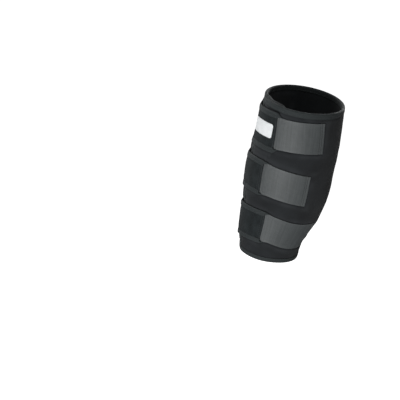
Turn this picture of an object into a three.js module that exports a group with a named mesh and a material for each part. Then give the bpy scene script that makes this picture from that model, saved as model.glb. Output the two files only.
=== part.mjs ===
// A calf support: a padded wrap closed over the shin by three elastic straps with bound pull tabs.
// Millimetres. +Z runs up the leg, the shin faces -Y and the strapped side faces +X.
// The origin is on the leg's axis, halfway up the wrap. A turn is an angle round that axis in
// degrees: 0 on the shin, 90 on the strapped side, 180 on the calf. A lift is a distance off the leg.
import * as THREE from "three";

const { degToRad, smoothstep, lerp } = THREE.MathUtils;

// Wrap
const HEIGHT = 240;
const WALL = 3;
const CORNER = 8; // radius of the corners at the wrap's two ends
const COVERED_TURN = 65; // the end that lies underneath
const CLOSING_TURN = 17; // the end that lies on top, before the shin
const RAMP_TURN = 118; // where the closing end starts to climb over the covered one
const SINK = 3; // how far the covered end is pressed into the leg
const SINK_TURN = 24; // where it is fully pressed in
const PUFF = 1.6; // swelling of the wrap between the straps
const PUFF_TURN = 20; // where it swells most
const PUFF_SPREAD = 110; // degrees to each side over which the swelling dies away

// Binding tape, folded over every edge
const TAPE = 0.4;
const TAPE_WIDTH = 7;
const CLEARANCE = 0.3; // between the tape and what it binds
const REST = 0.5; // between a layer and what it lies on
const PROUD = TAPE + CLEARANCE; // how far the tape stands past what it binds
const LAYER = WALL + 2 * PROUD + REST - SINK; // lift of the closing end over the covered one

// Straps
const ELASTIC = 1.2;
const FLARE_TURN = 14; // degrees over which it widens to the tab's seam
const LAP_TURN = 10; // elastic hidden under the tab
const LEAN_TURN = 20; // degrees over which a leaning seam comes upright
const TAB = 1.6;
const TAB_CORNER = 12;
const TAB_DOWN = -4; // turn where a tab has come down from the closing end onto the wrap
const TAB_BEND = CLOSING_TURN - 2; // turn where it bends over the closing end
const ARCH_SPAN = 60; // degrees over which a tab drops from its crest at the seam
const BAND = 57; // breadth that a strap presses flat

// Label
const LABEL = 0.7;
const LABEL_HEIGHT = 20;
const LABEL_CORNER = 3;
const LABEL_RISE = 1; // its middle over the tab's middle
const LABEL_TURNS = [55.2, 17];

// The leg that the wrap is shaped to: from the axis to the shin, to the calf and to each side.
const LEG = [
  { z: -120, front: 48.2, back: 31, side: 31.5 },
  { z: -90, front: 51, back: 34.7, side: 34.5 },
  { z: -50, front: 53.6, back: 49.6, side: 41 },
  { z: -10, front: 56.7, back: 55.7, side: 48.5 },
  { z: 30, front: 57.5, back: 55.7, side: 52.5 },
  { z: 70, front: 53.4, back: 55.1, side: 52.5 },
  { z: 120, front: 53, back: 50.5, side: 49.5 },
];

// Straps from the ankle up. The elastic runs from the turn where it is sewn down to the seam, and the
// tab, of the width given, from the seam to its free end. The crest is the middle's height at the seam,
// and the span the degrees over which the elastic drops from it. The elastic is stretched to the width
// given for it, and flares at the seam.
const STRAPS = [
  {
    name: "low",
    crest: -63,
    tilt: 0,
    arch: 10,
    span: 36,
    lean: 3,
    elastic: 45.7,
    flare: 51,
    width: 53,
    sewn: 160,
    seam: 70.5,
    free: -80,
  },
  {
    name: "middle",
    crest: 13.4,
    tilt: 0,
    arch: 12,
    span: 70,
    lean: 0,
    elastic: 47.6,
    flare: 51,
    width: 52,
    sewn: 118.8,
    seam: 54.7,
    free: -62,
  },
  {
    name: "top",
    crest: 83.5,
    tilt: 4.5,
    arch: 2,
    span: 60,
    lean: 3,
    elastic: 43.5,
    flare: 46,
    width: 55,
    sewn: 126.5,
    seam: 59.5,
    free: -66,
  },
];

// Faceting
const GIRTH_STEPS = 44;
const TAB_STEPS = [6, 10]; // from the seam to the bend over the closing end, and on to the free end
const LABEL_STEPS = 8;
const ELASTIC_STEPS = 11;
const ELASTIC_ROWS = 5;
const CORNER_STEPS = 4;
const RIM_ROWS = [0, 1, 3, CORNER]; // distances from the rim
const ROWS_BETWEEN = [1, 5, 4, 3, 4, 4]; // rows from rim to strap edge to strap edge, and so on up

const legShape = new THREE.CubicInterpolant(
  LEG.map((row) => row.z),
  LEG.flatMap((row) => [row.front, row.back, row.side]),
  3,
);

function onLeg(turn, z, lift) {
  const [front, back, side] = legShape.evaluate(z);
  const angle = degToRad(turn);
  const x = (side + lift) * Math.sin(angle);
  const y = (back - front) / 2 - ((front + back) / 2 + lift) * Math.cos(angle);
  return new THREE.Vector3(x, y, z);
}

// The turns that a girth of one millimetre takes at a place.
function turnsPerMm(turn, z, lift) {
  return 1 / onLeg(turn - 0.5, z, lift).distanceTo(onLeg(turn + 0.5, z, lift));
}

// Turn brought to the range from -180 to 180.
function nearTurn(turn) {
  return THREE.MathUtils.euclideanModulo(turn + 180, 360) - 180;
}

function strapHeight(strap, turn) {
  const away = nearTurn(turn - strap.seam);
  const span = away > 0 ? strap.span : ARCH_SPAN;
  const drop = strap.arch * (1 - Math.exp(-((away / span) ** 2)));
  return strap.crest + strap.tilt * Math.sin(degToRad(away)) - drop;
}

// Lower and upper edge of the band that each strap presses flat.
function pressedBands(turn) {
  return STRAPS.map((strap) => {
    const middle = strapHeight(strap, turn);
    return [middle - BAND / 2, middle + BAND / 2];
  });
}

// Swelling of the wrap in the gaps between the straps.
function puff(turn, z) {
  const away = Math.min(1, Math.abs(nearTurn(turn - PUFF_TURN)) / PUFF_SPREAD);
  const strength = PUFF * Math.cos((away * Math.PI) / 2) ** 2;
  const bands = pressedBands(turn);
  for (let i = 1; i < bands.length; i++) {
    const bottom = bands[i - 1][1];
    const top = bands[i][0];
    const share = (z - bottom) / (top - bottom);
    if (share > 0 && share < 1) return strength * Math.sin(Math.PI * share) ** 2;
  }
  return 0;
}

// Inner face of the wrap. Turns run on from the covered end through the shin, the far side and the
// calf to the closing end, so they fall below -180.
function wrapLift(turn) {
  const climb = LAYER * smoothstep(-turn, 360 - RAMP_TURN, 360 - COVERED_TURN - 3);
  return climb - SINK * smoothstep(turn, 0, SINK_TURN);
}

function onWrap(turn, z, depth) {
  return onLeg(turn, z, wrapLift(turn) + puff(turn, z) + depth);
}

// Outer face of the wrap that a strap lies on.
function wrapTop(turn) {
  return WALL + (turn > CLOSING_TURN ? wrapLift(turn - 360) : 0);
}

// Inner face of a tab: over the elastic, down onto the closing end, then straight down to the wrap.
function tabLift(strap, turn) {
  const onWall = WALL + REST + PROUD;
  const onClosing = LAYER + WALL + PROUD + REST + PROUD;
  const onElastic = LAYER + WALL + REST + ELASTIC + REST + PROUD;
  const hidden = strap.seam - LAP_TURN;
  const down = THREE.MathUtils.clamp((turn - TAB_DOWN) / (TAB_BEND - TAB_DOWN), 0, 1);
  const climb = (onElastic - onClosing) * smoothstep(turn, hidden - 16, hidden - 3);
  return lerp(onWall, onClosing, down ** 2) + climb;
}

// How far a round corner draws an edge back, at a distance from the corner's other edge.
function cornerInset(radius, distance) {
  const inside = Math.max(0, radius - distance);
  return radius - Math.sqrt(radius ** 2 - inside ** 2);
}

// Distance of a column from an end that an inset draws back: only the columns near the end move.
function drawnBack(distance, inset, radius) {
  const reach = 3 * radius;
  return distance < reach ? lerp(inset, reach, distance / reach) : distance;
}

function steps(from, to, count) {
  return Array.from({ length: count + 1 }, (_, i) => lerp(from, to, i / count));
}

// Closed solid from points and quads. Each quad is split along its shorter diagonal, and the faces are
// turned outwards.
function solid(points, quads) {
  const apart = (a, b) => points[a].distanceTo(points[b]);
  const split = ([a, b, c, d]) => [[a, b, c], [a, c, d]];
  const triangles = quads.flatMap(([a, b, c, d]) =>
    apart(a, c) <= apart(b, d) ? split([a, b, c, d]) : split([b, c, d, a]),
  );
  const volume = triangles.reduce(
    (sum, [a, b, c]) => sum + points[a].dot(points[b].clone().cross(points[c])),
    0,
  );
  const facing = volume < 0 ? triangles.map(([a, b, c]) => [a, c, b]) : triangles;
  const geometry = new THREE.BufferGeometry().setFromPoints(points);
  geometry.setIndex(facing.flat());
  geometry.computeVertexNormals();
  return geometry;
}

// Slab between an inner and an outer face, each a grid of columns by rows.
function slab(columns, rows, pointAt) {
  const points = [];
  for (const face of [0, 1])
    for (let i = 0; i <= columns; i++) for (let j = 0; j <= rows; j++) points.push(pointAt(i, j, face));
  const at = (i, j, face) => (face * (columns + 1) + i) * (rows + 1) + j;
  const quads = [];
  for (let i = 0; i < columns; i++)
    for (let j = 0; j < rows; j++) {
      quads.push([at(i, j, 0), at(i, j + 1, 0), at(i + 1, j + 1, 0), at(i + 1, j, 0)]);
      quads.push([at(i, j, 1), at(i + 1, j, 1), at(i + 1, j + 1, 1), at(i, j + 1, 1)]);
    }
  for (let i = 0; i < columns; i++) {
    quads.push([at(i, 0, 0), at(i + 1, 0, 0), at(i + 1, 0, 1), at(i, 0, 1)]);
    quads.push([at(i, rows, 0), at(i, rows, 1), at(i + 1, rows, 1), at(i + 1, rows, 0)]);
  }
  for (let j = 0; j < rows; j++) {
    quads.push([at(0, j, 0), at(0, j, 1), at(0, j + 1, 1), at(0, j + 1, 0)]);
    quads.push([at(columns, j, 0), at(columns, j + 1, 0), at(columns, j + 1, 1), at(columns, j, 1)]);
  }
  return solid(points, quads);
}

// Tape folded over an edge: a channel that runs along stations on the edge. pointAt gives a station's
// point at an inset from the edge and a depth above the bound sheet's inner face.
function channel(stations, closed, thickness, pointAt) {
  const profile = [
    { inset: TAPE_WIDTH, depth: thickness + CLEARANCE },
    { inset: TAPE_WIDTH, depth: thickness + PROUD },
    { inset: -PROUD, depth: thickness + PROUD },
    { inset: -PROUD, depth: -PROUD },
    { inset: TAPE_WIDTH, depth: -PROUD },
    { inset: TAPE_WIDTH, depth: -CLEARANCE },
    { inset: -CLEARANCE, depth: -CLEARANCE },
    { inset: -CLEARANCE, depth: thickness + CLEARANCE },
  ];
  const points = stations.flatMap((station) => profile.map((p) => pointAt(station, p.inset, p.depth)));
  const sides = profile.length;
  const at = (k, side) => (k % stations.length) * sides + (side % sides);
  const quads = [];
  for (let k = 0; k < stations.length - (closed ? 0 : 1); k++)
    for (let side = 0; side < sides; side++)
      quads.push([at(k, side), at(k, side + 1), at(k + 1, side + 1), at(k + 1, side)]);
  if (!closed) {
    const last = stations.length - 1;
    quads.push([at(0, 0), at(0, 7), at(0, 2), at(0, 1)]);
    quads.push([at(0, 7), at(0, 6), at(0, 3), at(0, 2)]);
    quads.push([at(0, 6), at(0, 5), at(0, 4), at(0, 3)]);
    quads.push([at(last, 0), at(last, 1), at(last, 2), at(last, 7)]);
    quads.push([at(last, 7), at(last, 2), at(last, 3), at(last, 6)]);
    quads.push([at(last, 6), at(last, 3), at(last, 4), at(last, 5)]);
  }
  return solid(points, quads);
}

// Wrap's ends at a height, drawn back by an inset in millimetres.
function coveredEnd(z, inset) {
  return COVERED_TURN - inset * turnsPerMm(COVERED_TURN, z, WALL / 2);
}
function closingEnd(z, inset) {
  return CLOSING_TURN - 360 + inset * turnsPerMm(CLOSING_TURN, z, LAYER + WALL / 2);
}

// Heights of the wrap's rows at a turn: close at the rims, then fitted to the straps' edges.
function wrapRows(turn) {
  const [low, middle, top] = pressedBands(turn);
  const rim = HEIGHT / 2;
  const bounds = [CORNER - rim, low[0], low[1], middle[0], middle[1], top[0], rim - CORNER];
  const between = ROWS_BETWEEN.flatMap((count, i) => steps(bounds[i], bounds[i + 1], count).slice(1));
  const topRows = RIM_ROWS.slice(0, -1).reverse();
  return [...RIM_ROWS.map((d) => d - rim), ...between, ...topRows.map((d) => rim - d)];
}

// Turn of one of the wrap's columns at a height.
function wrapTurn(share, z) {
  const turn = lerp(COVERED_TURN, CLOSING_TURN - 360, share);
  const inset = cornerInset(CORNER, HEIGHT / 2 - Math.abs(z));
  const fromCovered = (COVERED_TURN - turn) / turnsPerMm(COVERED_TURN, z, WALL / 2);
  const fromClosing = (turn + 360 - CLOSING_TURN) / turnsPerMm(CLOSING_TURN, z, LAYER + WALL / 2);
  if (fromCovered < fromClosing) return coveredEnd(z, drawnBack(fromCovered, inset, CORNER));
  return closingEnd(z, drawnBack(fromClosing, inset, CORNER));
}

function makeWrap() {
  const count = wrapRows(0).length;
  return slab(GIRTH_STEPS, count - 1, (i, j, face) => {
    const share = i / GIRTH_STEPS;
    const z = wrapRows(lerp(COVERED_TURN, CLOSING_TURN - 360, share))[j];
    return onWrap(wrapTurn(share, z), z, face * WALL);
  });
}

// Stations once round the wrap's edge: up the covered end, along the top rim, down the closing end
// and back along the bottom rim. Those at an end and its corners hang from a line one radius inside it.
function makeEdgeBinding() {
  const rim = HEIGHT / 2 - CORNER;
  const rows = wrapRows(0).keys().toArray().slice(RIM_ROWS.length, -RIM_ROWS.length);
  const corner = (end, level, from) =>
    steps(from, from - 90, CORNER_STEPS).map((angle) => ({ end, z: level * rim, angle }));
  const side = (end, order) => order.map((row) => ({ end, row }));
  const along = (level, shares) => shares.map((share) => ({ share, level }));
  const shares = steps(0, 1, GIRTH_STEPS).slice(1, -1);
  const stations = [
    ...side(coveredEnd, rows),
    ...corner(coveredEnd, 1, 180),
    ...along(1, shares),
    ...corner(closingEnd, 1, 90),
    ...side(closingEnd, rows.toReversed()),
    ...corner(closingEnd, -1, 0),
    ...along(-1, shares.toReversed()),
    ...corner(coveredEnd, -1, 270),
  ];
  return channel(stations, true, WALL, (station, inset, depth) => {
    if (station.share !== undefined) {
      const z = station.level * (HEIGHT / 2 - inset);
      const column = wrapTurn(station.share, station.level * (HEIGHT / 2 - Math.max(0, inset)));
      return onWrap(column, z, depth);
    }
    if (station.row !== undefined) {
      const z = wrapRows(station.end(0, inset))[station.row];
      return onWrap(station.end(z, inset), z, depth);
    }
    const reach = CORNER - inset;
    const angle = degToRad(station.angle);
    const z = station.z + reach * Math.sin(angle);
    return onWrap(station.end(z, CORNER - reach * Math.abs(Math.cos(angle))), z, depth);
  });
}

function elasticWidth(strap, turn) {
  return lerp(strap.flare, strap.elastic, smoothstep(turn - strap.seam, 0, FLARE_TURN));
}

function makeElastic(strap) {
  const turns = steps(strap.sewn, strap.seam - LAP_TURN, ELASTIC_STEPS);
  const rows = steps(-0.5, 0.5, ELASTIC_ROWS);
  return slab(ELASTIC_STEPS, ELASTIC_ROWS, (i, j, face) => {
    const turn = turns[i] - strap.lean * rows[j];
    const z = strapHeight(strap, turns[i]) + rows[j] * elasticWidth(strap, turns[i]);
    return onLeg(turn, z, wrapTop(turn) + REST + face * ELASTIC);
  });
}

function tabColumns(strap) {
  const toBend = steps(strap.seam, TAB_BEND, TAB_STEPS[0]);
  return [...toBend, ...steps(TAB_BEND, strap.free, TAB_STEPS[1]).slice(1)];
}

// Turn of one of a tab's columns at a distance off its middle line. The seam leans, the free end is
// square with round corners.
function tabTurn(strap, column, offset) {
  const turn = tabColumns(strap)[column];
  const perMm = turnsPerMm(strap.free, strapHeight(strap, strap.free), WALL);
  const inset = cornerInset(TAB_CORNER, strap.width / 2 - Math.abs(offset));
  const lean = strap.lean * Math.max(0, 1 - (strap.seam - turn) / LEAN_TURN);
  const fromFree = drawnBack((turn - strap.free) / perMm, inset, TAB_CORNER);
  return strap.free + fromFree * perMm - (lean * offset) / strap.width;
}

function onTab(strap, turn, offset, depth) {
  return onLeg(turn, strapHeight(strap, turn) + offset, tabLift(strap, turn) + depth);
}

function makeTab(strap) {
  const half = strap.width / 2;
  const upper = [half - TAB_CORNER, half - 4, half];
  const offsets = [...upper.toReversed().map((o) => -o), 0, ...upper];
  return slab(tabColumns(strap).length - 1, offsets.length - 1, (i, j, face) =>
    onTab(strap, tabTurn(strap, i, offsets[j]), offsets[j], face * TAB),
  );
}

// Tape along a tab's upper edge, round its free end and back along its lower edge.
function makeTabBinding(strap) {
  const half = strap.width / 2;
  const perMm = turnsPerMm(strap.free, strapHeight(strap, strap.free), WALL);
  const columns = tabColumns(strap).keys().toArray().slice(0, -1);
  const edge = (side) => columns.map((column) => ({ side, column }));
  const corner = (side) => steps(90, 0, CORNER_STEPS).map((angle) => ({ side, angle: degToRad(angle) }));
  const end = [...corner(1), { side: 0, angle: 0 }, ...corner(-1).reverse()];
  const stations = [...edge(1), ...end, ...edge(-1).reverse()];
  return channel(stations, false, TAB, ({ side, column, angle }, inset, depth) => {
    if (column !== undefined)
      return onTab(strap, tabTurn(strap, column, side * half), side * (half - inset), depth);
    const reach = TAB_CORNER - inset;
    const offset = side * (half - TAB_CORNER + reach * Math.sin(angle));
    return onTab(strap, strap.free + (TAB_CORNER - reach * Math.cos(angle)) * perMm, offset, depth);
  });
}

function makeLabel(strap) {
  const half = LABEL_HEIGHT / 2;
  const upper = [half - LABEL_CORNER, half - 1, half];
  const offsets = [...upper.toReversed().map((o) => -o), ...upper];
  return slab(LABEL_STEPS, offsets.length - 1, (i, j, face) => {
    const [right, left] = LABEL_TURNS;
    const inset = cornerInset(LABEL_CORNER, half - Math.abs(offsets[j]));
    const turn = lerp(right - inset, left + inset, i / LABEL_STEPS);
    return onTab(strap, turn, LABEL_RISE + offsets[j], TAB + CLEARANCE + face * LABEL);
  });
}

const NEOPRENE = new THREE.MeshStandardMaterial({ color: 0x26282b, roughness: 0.9, metalness: 0 });
const BINDING = new THREE.MeshStandardMaterial({ color: 0x343638, roughness: 0.7, metalness: 0 });
const WEBBING = new THREE.MeshStandardMaterial({ color: 0x646869, roughness: 0.85, metalness: 0 });
const LOOP_PILE = new THREE.MeshStandardMaterial({ color: 0x292d30, roughness: 1, metalness: 0 });
const SATIN = new THREE.MeshStandardMaterial({ color: 0xf2f5f7, roughness: 0.5, metalness: 0 });

function named(name, geometry, material) {
  const mesh = new THREE.Mesh(geometry, material);
  mesh.name = name;
  return mesh;
}

const support = new THREE.Group();
support.add(named("wrap", makeWrap(), NEOPRENE));
support.add(named("edge_binding", makeEdgeBinding(), BINDING));
for (const strap of STRAPS) {
  support.add(named(`strap_${strap.name}`, makeElastic(strap), WEBBING));
  support.add(named(`tab_${strap.name}`, makeTab(strap), LOOP_PILE));
  support.add(named(`tab_${strap.name}_binding`, makeTabBinding(strap), BINDING));
}
support.add(named("label", makeLabel(STRAPS.at(-1)), SATIN));

export default support;
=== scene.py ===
import math
from functools import partial, reduce

import bpy
import numpy as np
from mathutils import Matrix, Vector


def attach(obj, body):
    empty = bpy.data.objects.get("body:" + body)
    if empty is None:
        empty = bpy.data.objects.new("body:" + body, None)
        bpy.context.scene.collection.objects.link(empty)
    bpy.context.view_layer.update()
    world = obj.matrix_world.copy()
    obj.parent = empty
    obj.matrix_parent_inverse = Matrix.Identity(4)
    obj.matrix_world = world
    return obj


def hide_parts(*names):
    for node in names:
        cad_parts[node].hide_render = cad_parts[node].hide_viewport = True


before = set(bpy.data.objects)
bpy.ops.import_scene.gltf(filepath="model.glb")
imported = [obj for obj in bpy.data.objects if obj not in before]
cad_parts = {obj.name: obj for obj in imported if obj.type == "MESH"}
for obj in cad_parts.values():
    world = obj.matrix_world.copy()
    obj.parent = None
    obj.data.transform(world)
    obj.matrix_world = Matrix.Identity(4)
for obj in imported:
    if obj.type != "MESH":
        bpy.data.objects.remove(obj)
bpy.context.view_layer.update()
scene = bpy.context.scene

MM = 0.001
UV_MM = 100  # millimetres of cloth to one unit of the cloth's own coordinates

# Wrap, as in the solids
HEIGHT = 240
WALL = 3.0
CORNER = 8
COVERED_TURN = 65
CLOSING_TURN = 17
RAMP_TURN = 118
SINK = 3
SINK_TURN = 24
PUFF = 1.6
PUFF_TURN = 20
PUFF_SPREAD = 110

# Tape and layers, as in the solids
TAPE_WIDTH = 7
PROUD = 0.7
REST = 0.5
LAYER = WALL + 2 * PROUD + REST - SINK

# Straps, as in the solids
FLARE_TURN = 14
LAP_TURN = 10
LEAN_TURN = 20
TAB = 1.6
TAB_LIE = 0.75  # from the wrap to a tab that lies on it
TAB_CORNER = 12
TAB_DOWN = -4
TAB_BEND = CLOSING_TURN - 2
ARCH_SPAN = 60
BAND = 57

# Label, as in the solids
LABEL_HEIGHT = 20
LABEL_CORNER = 3
LABEL_RISE = 1
LABEL_TURNS = (55.2, 17)

# The leg that the wrap is shaped to: height, then from the axis to the shin, the calf and each side.
LEG = np.array([
    (-120, 48.2, 31, 31.5),
    (-90, 51, 34.7, 34.5),
    (-50, 53.6, 49.6, 41),
    (-10, 56.7, 55.7, 48.5),
    (30, 57.5, 55.7, 52.5),
    (70, 53.4, 55.1, 52.5),
    (120, 53, 50.5, 49.5),
])

# Straps from the ankle up.
STRAPS = [
    dict(
        name="low", crest=-63, tilt=0, arch=10, span=36, lean=3,
        elastic=45.7, flare=51, width=53, sewn=160, seam=70.5, free=-80,
    ),
    dict(
        name="middle", crest=13.4, tilt=0, arch=12, span=70, lean=0,
        elastic=47.6, flare=51, width=52, sewn=118.8, seam=54.7, free=-62,
    ),
    dict(
        name="top", crest=83.5, tilt=4.5, arch=2, span=60, lean=3,
        elastic=43.5, flare=46, width=55, sewn=126.5, seam=59.5, free=-66,
    ),
]

# Cloth detail that the solids leave out
TAPE = 0.44  # thickness of the tape
TAPE_LIE = 0.3  # from the bound sheet to the middle of the tape
TAPE_FOLD = 1.3  # from the edge to where the tape starts to curve round it
TAPE_STITCH = 4.9  # from the edge to the row of stitches
STITCH_DIP = 0.16  # how far that row draws the tape down
SEAM_DIP = 0.3  # how far a row of stitches draws elastic or pile down
SEAM_SPREAD = 0.7  # how far that dip spreads
ELASTIC = 1.15
ELASTIC_LIE = 0.12  # from the wrap to the elastic
ELASTIC_SEAMS = (3.2, 6.2)  # from the elastic's sewn end to its rows of stitches
RIB_PITCH = 1.5
RIB = 0.16
RIB_POINTS = 7  # points along one rib's pitch
SELVEDGE = 0.1  # how far the elastic's woven sides stand up
SCALLOP = 0.12  # how far its ribs draw the sides in and out
CREASE = 0.32  # height of the gathers by the tab's seam
CREASE_PITCH = 2.7
TAB_SEAMS = {"low": (1.6, 4.6), "middle": (1.6, 4.6), "top": (1.6,)}  # from the tab's end to its rows
LABEL = 0.55
LABEL_LIE = 0.1  # from the tab to the label
LABEL_HEM = 0.14  # what its folded hem adds
LABEL_STITCH = 1.5  # from its edge to its row of stitches
LABEL_DIP = 0.12  # how far that row draws it down
TAPE_TAIL = 8  # how far the tape on a tab runs on past the seam
TAIL_END = 0.5  # its width at the end
TAIL_START = 0.42  # share of its lap over the elastic that is left past the seam
TAIL_THIN = 0.6  # share of its thickness that it loses there
TAIL_DROP = 1.3  # how far it comes down there, from the tab to the elastic
TAIL_STATIONS = 14

# Relief of the wrap
LINING_LIFT = 0.12  # from the leg to the inner face
SHIN_BULGE = 2  # how far the foam bulges between the tabs on the shin
TAB_SWELL = 0.6  # how far it swells over the edge of a tab's tape
ELASTIC_SWELL = 0.7  # how far it swells beside an elastic
SWELL_MOST = 1.3  # the most that it rises to meet a tab
SWELL_FADE = (2, 13)  # from where to where beside a strap the swelling fades
STRAP_PRESS = 0.3  # how far a strap presses in
EDGE_PINCH = 0.45  # how far the tape draws the edge in
# Folds: their height, what one spans along the girth and upwards, and the seed of their noise
FOLDS = ((0.42, 46, 15, 3), (0.18, 17, 8, 4))
CALF_FOLDS = (0.95, 60, 9, 7)
PUCKERS = (0.22, 4.5, 4.5, 5)

# Points of the meshes
WRAP_COLUMNS = 261
WRAP_ROWS = (18, 24, 26, 24, 26, 24, 12)  # between a rim and a strap's edge, across a strap, and so on
ROW_CROWDING = 0.6
EDGE_STEPS = np.array([0, 0.04, 0.14, 0.3, 0.55, 0.9])  # from a sheet's edge, so that it can be round
EDGE_ZONE = 1.4
EDGE_LEFT = 0.12  # share of a sheet's thickness at its very edge
GIRTH_RADIUS = 52  # for the wrap's cloth coordinates
MM_PER_TURN = 0.95  # girth of one degree, where only a rough distance is needed
FAR = 99.0  # a distance at which no edge counts
NOISE_SIZE = 97  # values along each side of a noise table


def smooth(x, low=0.0, high=1.0):
    """0 below low, 1 above high, and an even curve between."""
    t = np.clip((x - low) / (high - low), 0, 1)
    return t * t * (3 - 2 * t)


def bell(x, middle, spread):
    """1 at the middle, and less to both sides."""
    return np.exp(-(((x - middle) / spread) ** 2))


def soft_noise(x, y, seed):
    """Smooth noise from -1 to 1 that changes over about one unit."""
    table = np.random.default_rng(seed).uniform(-1, 1, (NOISE_SIZE, NOISE_SIZE))
    i = np.floor(x).astype(int)
    j = np.floor(y).astype(int)
    a = smooth(x - i)
    b = smooth(y - j)
    left, right = i % NOISE_SIZE, (i + 1) % NOISE_SIZE
    below, above = j % NOISE_SIZE, (j + 1) % NOISE_SIZE
    low = table[left, below] * (1 - a) + table[right, below] * a
    high = table[left, above] * (1 - a) + table[right, above] * a
    return low * (1 - b) + high * b


# The leg and the layers on it


def leg_shape(z):
    """Distances from the axis to the shin, the calf and the sides at a height."""
    level = LEG[:, 0]
    rows = LEG[:, 1:]
    secants = np.diff(rows, axis=0) / np.diff(level)[:, None]
    slopes = np.concatenate([secants[:1], (secants[1:] + secants[:-1]) / 2, secants[-1:]])
    z = np.clip(z, level[0], level[-1])
    i = np.clip(np.searchsorted(level, z, side="right") - 1, 0, len(level) - 2)
    step = (level[i + 1] - level[i])[..., None]
    p = (z - level[i])[..., None] / step
    start = (1 + 2 * p) * (1 - p) ** 2 * rows[i] + p * (1 - p) ** 2 * step * slopes[i]
    end = p**2 * (3 - 2 * p) * rows[i + 1] - p**2 * (1 - p) * step * slopes[i + 1]
    return start + end


def on_leg(turn, z, lift):
    """Points at turns, heights and lifts."""
    turn, z, lift = np.broadcast_arrays(*(np.asarray(a, float) for a in (turn, z, lift)))
    front, back, side = np.moveaxis(leg_shape(z), -1, 0)
    angle = np.radians(turn)
    x = (side + lift) * np.sin(angle)
    y = (back - front) / 2 - ((front + back) / 2 + lift) * np.cos(angle)
    return np.stack([x, y, z], axis=-1)


def turns_per_mm(turn, z, lift):
    """The turns that a girth of one millimetre takes at a place."""
    apart = on_leg(turn + 0.5, z, lift) - on_leg(turn - 0.5, z, lift)
    return 1 / np.linalg.norm(apart, axis=-1)


def near_turn(turn):
    """Turn brought to the range from -180 to 180."""
    return np.mod(turn + 180, 360) - 180


def strap_height(strap, turn):
    """Height of a strap's middle: it arches down to both sides of the tab's seam."""
    away = near_turn(turn - strap["seam"])
    span = np.where(away > 0, strap["span"], ARCH_SPAN)
    drop = strap["arch"] * (1 - bell(away, 0, span))
    return strap["crest"] + strap["tilt"] * np.sin(np.radians(away)) - drop


def puff(turn, z):
    """Swelling of the wrap in the gaps between the straps."""
    away = np.minimum(1, np.abs(near_turn(turn - PUFF_TURN)) / PUFF_SPREAD)
    strength = PUFF * np.cos(away * math.pi / 2) ** 2
    total = 0.0
    for lower, upper in zip(STRAPS, STRAPS[1:]):
        bottom = strap_height(lower, turn) + BAND / 2
        top = strap_height(upper, turn) - BAND / 2
        share = np.clip((z - bottom) / (top - bottom), 0, 1)
        total = total + strength * np.sin(math.pi * share) ** 2
    return total


def wrap_lift(turn):
    """Inner face of the wrap. Turns run from the covered end down to the closing end, below -180."""
    climb = LAYER * smooth(-turn, 360 - RAMP_TURN, 360 - COVERED_TURN - 3)
    return climb - SINK * smooth(turn, 0, SINK_TURN)


def on_wrap(turn, z, depth):
    """Points in the wrap's wall, at a depth out from its inner face."""
    return on_leg(turn, z, wrap_lift(turn) + puff(turn, z) + depth)


def wrap_top(turn):
    """Outer face of the wrap that a strap lies on."""
    return WALL + np.where(turn > CLOSING_TURN, wrap_lift(turn - 360), 0)


def elastic_width(strap, turn):
    """Width of an elastic: it flares near the tab's seam."""
    plain = smooth(turn - strap["seam"], 0, FLARE_TURN)
    return strap["flare"] + (strap["elastic"] - strap["flare"]) * plain


def tab_lift(turn):
    """Inner face of a tab: over the elastic and the closing end, then down onto the wrap."""
    on_wall = WALL + TAB_LIE
    on_closing = LAYER + WALL + PROUD + REST + PROUD
    down = np.clip((turn - TAB_DOWN) / (TAB_BEND - TAB_DOWN), 0, 1)
    return on_wall + (on_closing - on_wall) * down**2


def corner_inset(radius, distance):
    """How far a round corner draws an edge back, at a distance from the corner's other edge."""
    inside = np.maximum(0, radius - distance)
    return radius - np.sqrt(np.maximum(0, radius**2 - inside**2))


def drawn_back(distance, inset, radius):
    """Distance of a column from an end that an inset draws back: only columns near the end move."""
    reach = 3 * radius
    return np.where(distance < reach, inset + (reach - inset) * distance / reach, distance)


def covered_end(z, inset):
    """Turns at an inset from the wrap's covered end."""
    return COVERED_TURN - inset * turns_per_mm(COVERED_TURN, z, WALL / 2)


def closing_end(z, inset):
    """Turns at an inset from the wrap's closing end."""
    return CLOSING_TURN - 360 + inset * turns_per_mm(CLOSING_TURN, z, LAYER + WALL / 2)


# Meshes


def add_mesh(name, points, faces, flat, wear, material):
    """A piece from points in millimetres, with its own flat cloth coordinates and a wear of 0 to 1."""
    mesh = bpy.data.meshes.new(name)
    mesh.from_pydata((points * MM).tolist(), [], facing_out(points, faces).tolist())
    corners = np.empty(len(mesh.loops), np.int32)
    mesh.loops.foreach_get("vertex_index", corners)
    layer = mesh.uv_layers.new(name="cloth")
    layer.data.foreach_set("uv", (flat[corners] / UV_MM).astype(np.float32).ravel())
    worn = mesh.attributes.new("wear", "FLOAT", "POINT")
    worn.data.foreach_set("value", np.clip(wear, 0, 1).astype(np.float32).ravel())
    mesh.polygons.foreach_set("use_smooth", np.ones(len(mesh.polygons), bool))
    mesh.materials.append(material)
    mesh.update()
    piece = bpy.data.objects.new(name, mesh)
    scene.collection.objects.link(piece)
    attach(piece, "root")
    return piece


def facing_out(points, quads):
    """Quads turned so that the closed shape they make has its outside outwards."""
    a, b, c, d = (points[quads[:, k]] for k in range(4))
    total = np.einsum("ij,ij->", a, np.cross(b, c) + np.cross(c, d))
    return quads[:, ::-1] if total < 0 else quads


def grid_faces(index):
    """Quads between neighbours in a grid of point numbers."""
    quads = np.stack([index[:-1, :-1], index[:-1, 1:], index[1:, 1:], index[1:, :-1]], axis=-1)
    return quads.reshape(-1, 4)


def tube_faces(rings):
    """Quads round a tube, from the point numbers of its rings."""
    return grid_faces(np.concatenate([rings, rings[:, :1]], axis=1))


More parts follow.
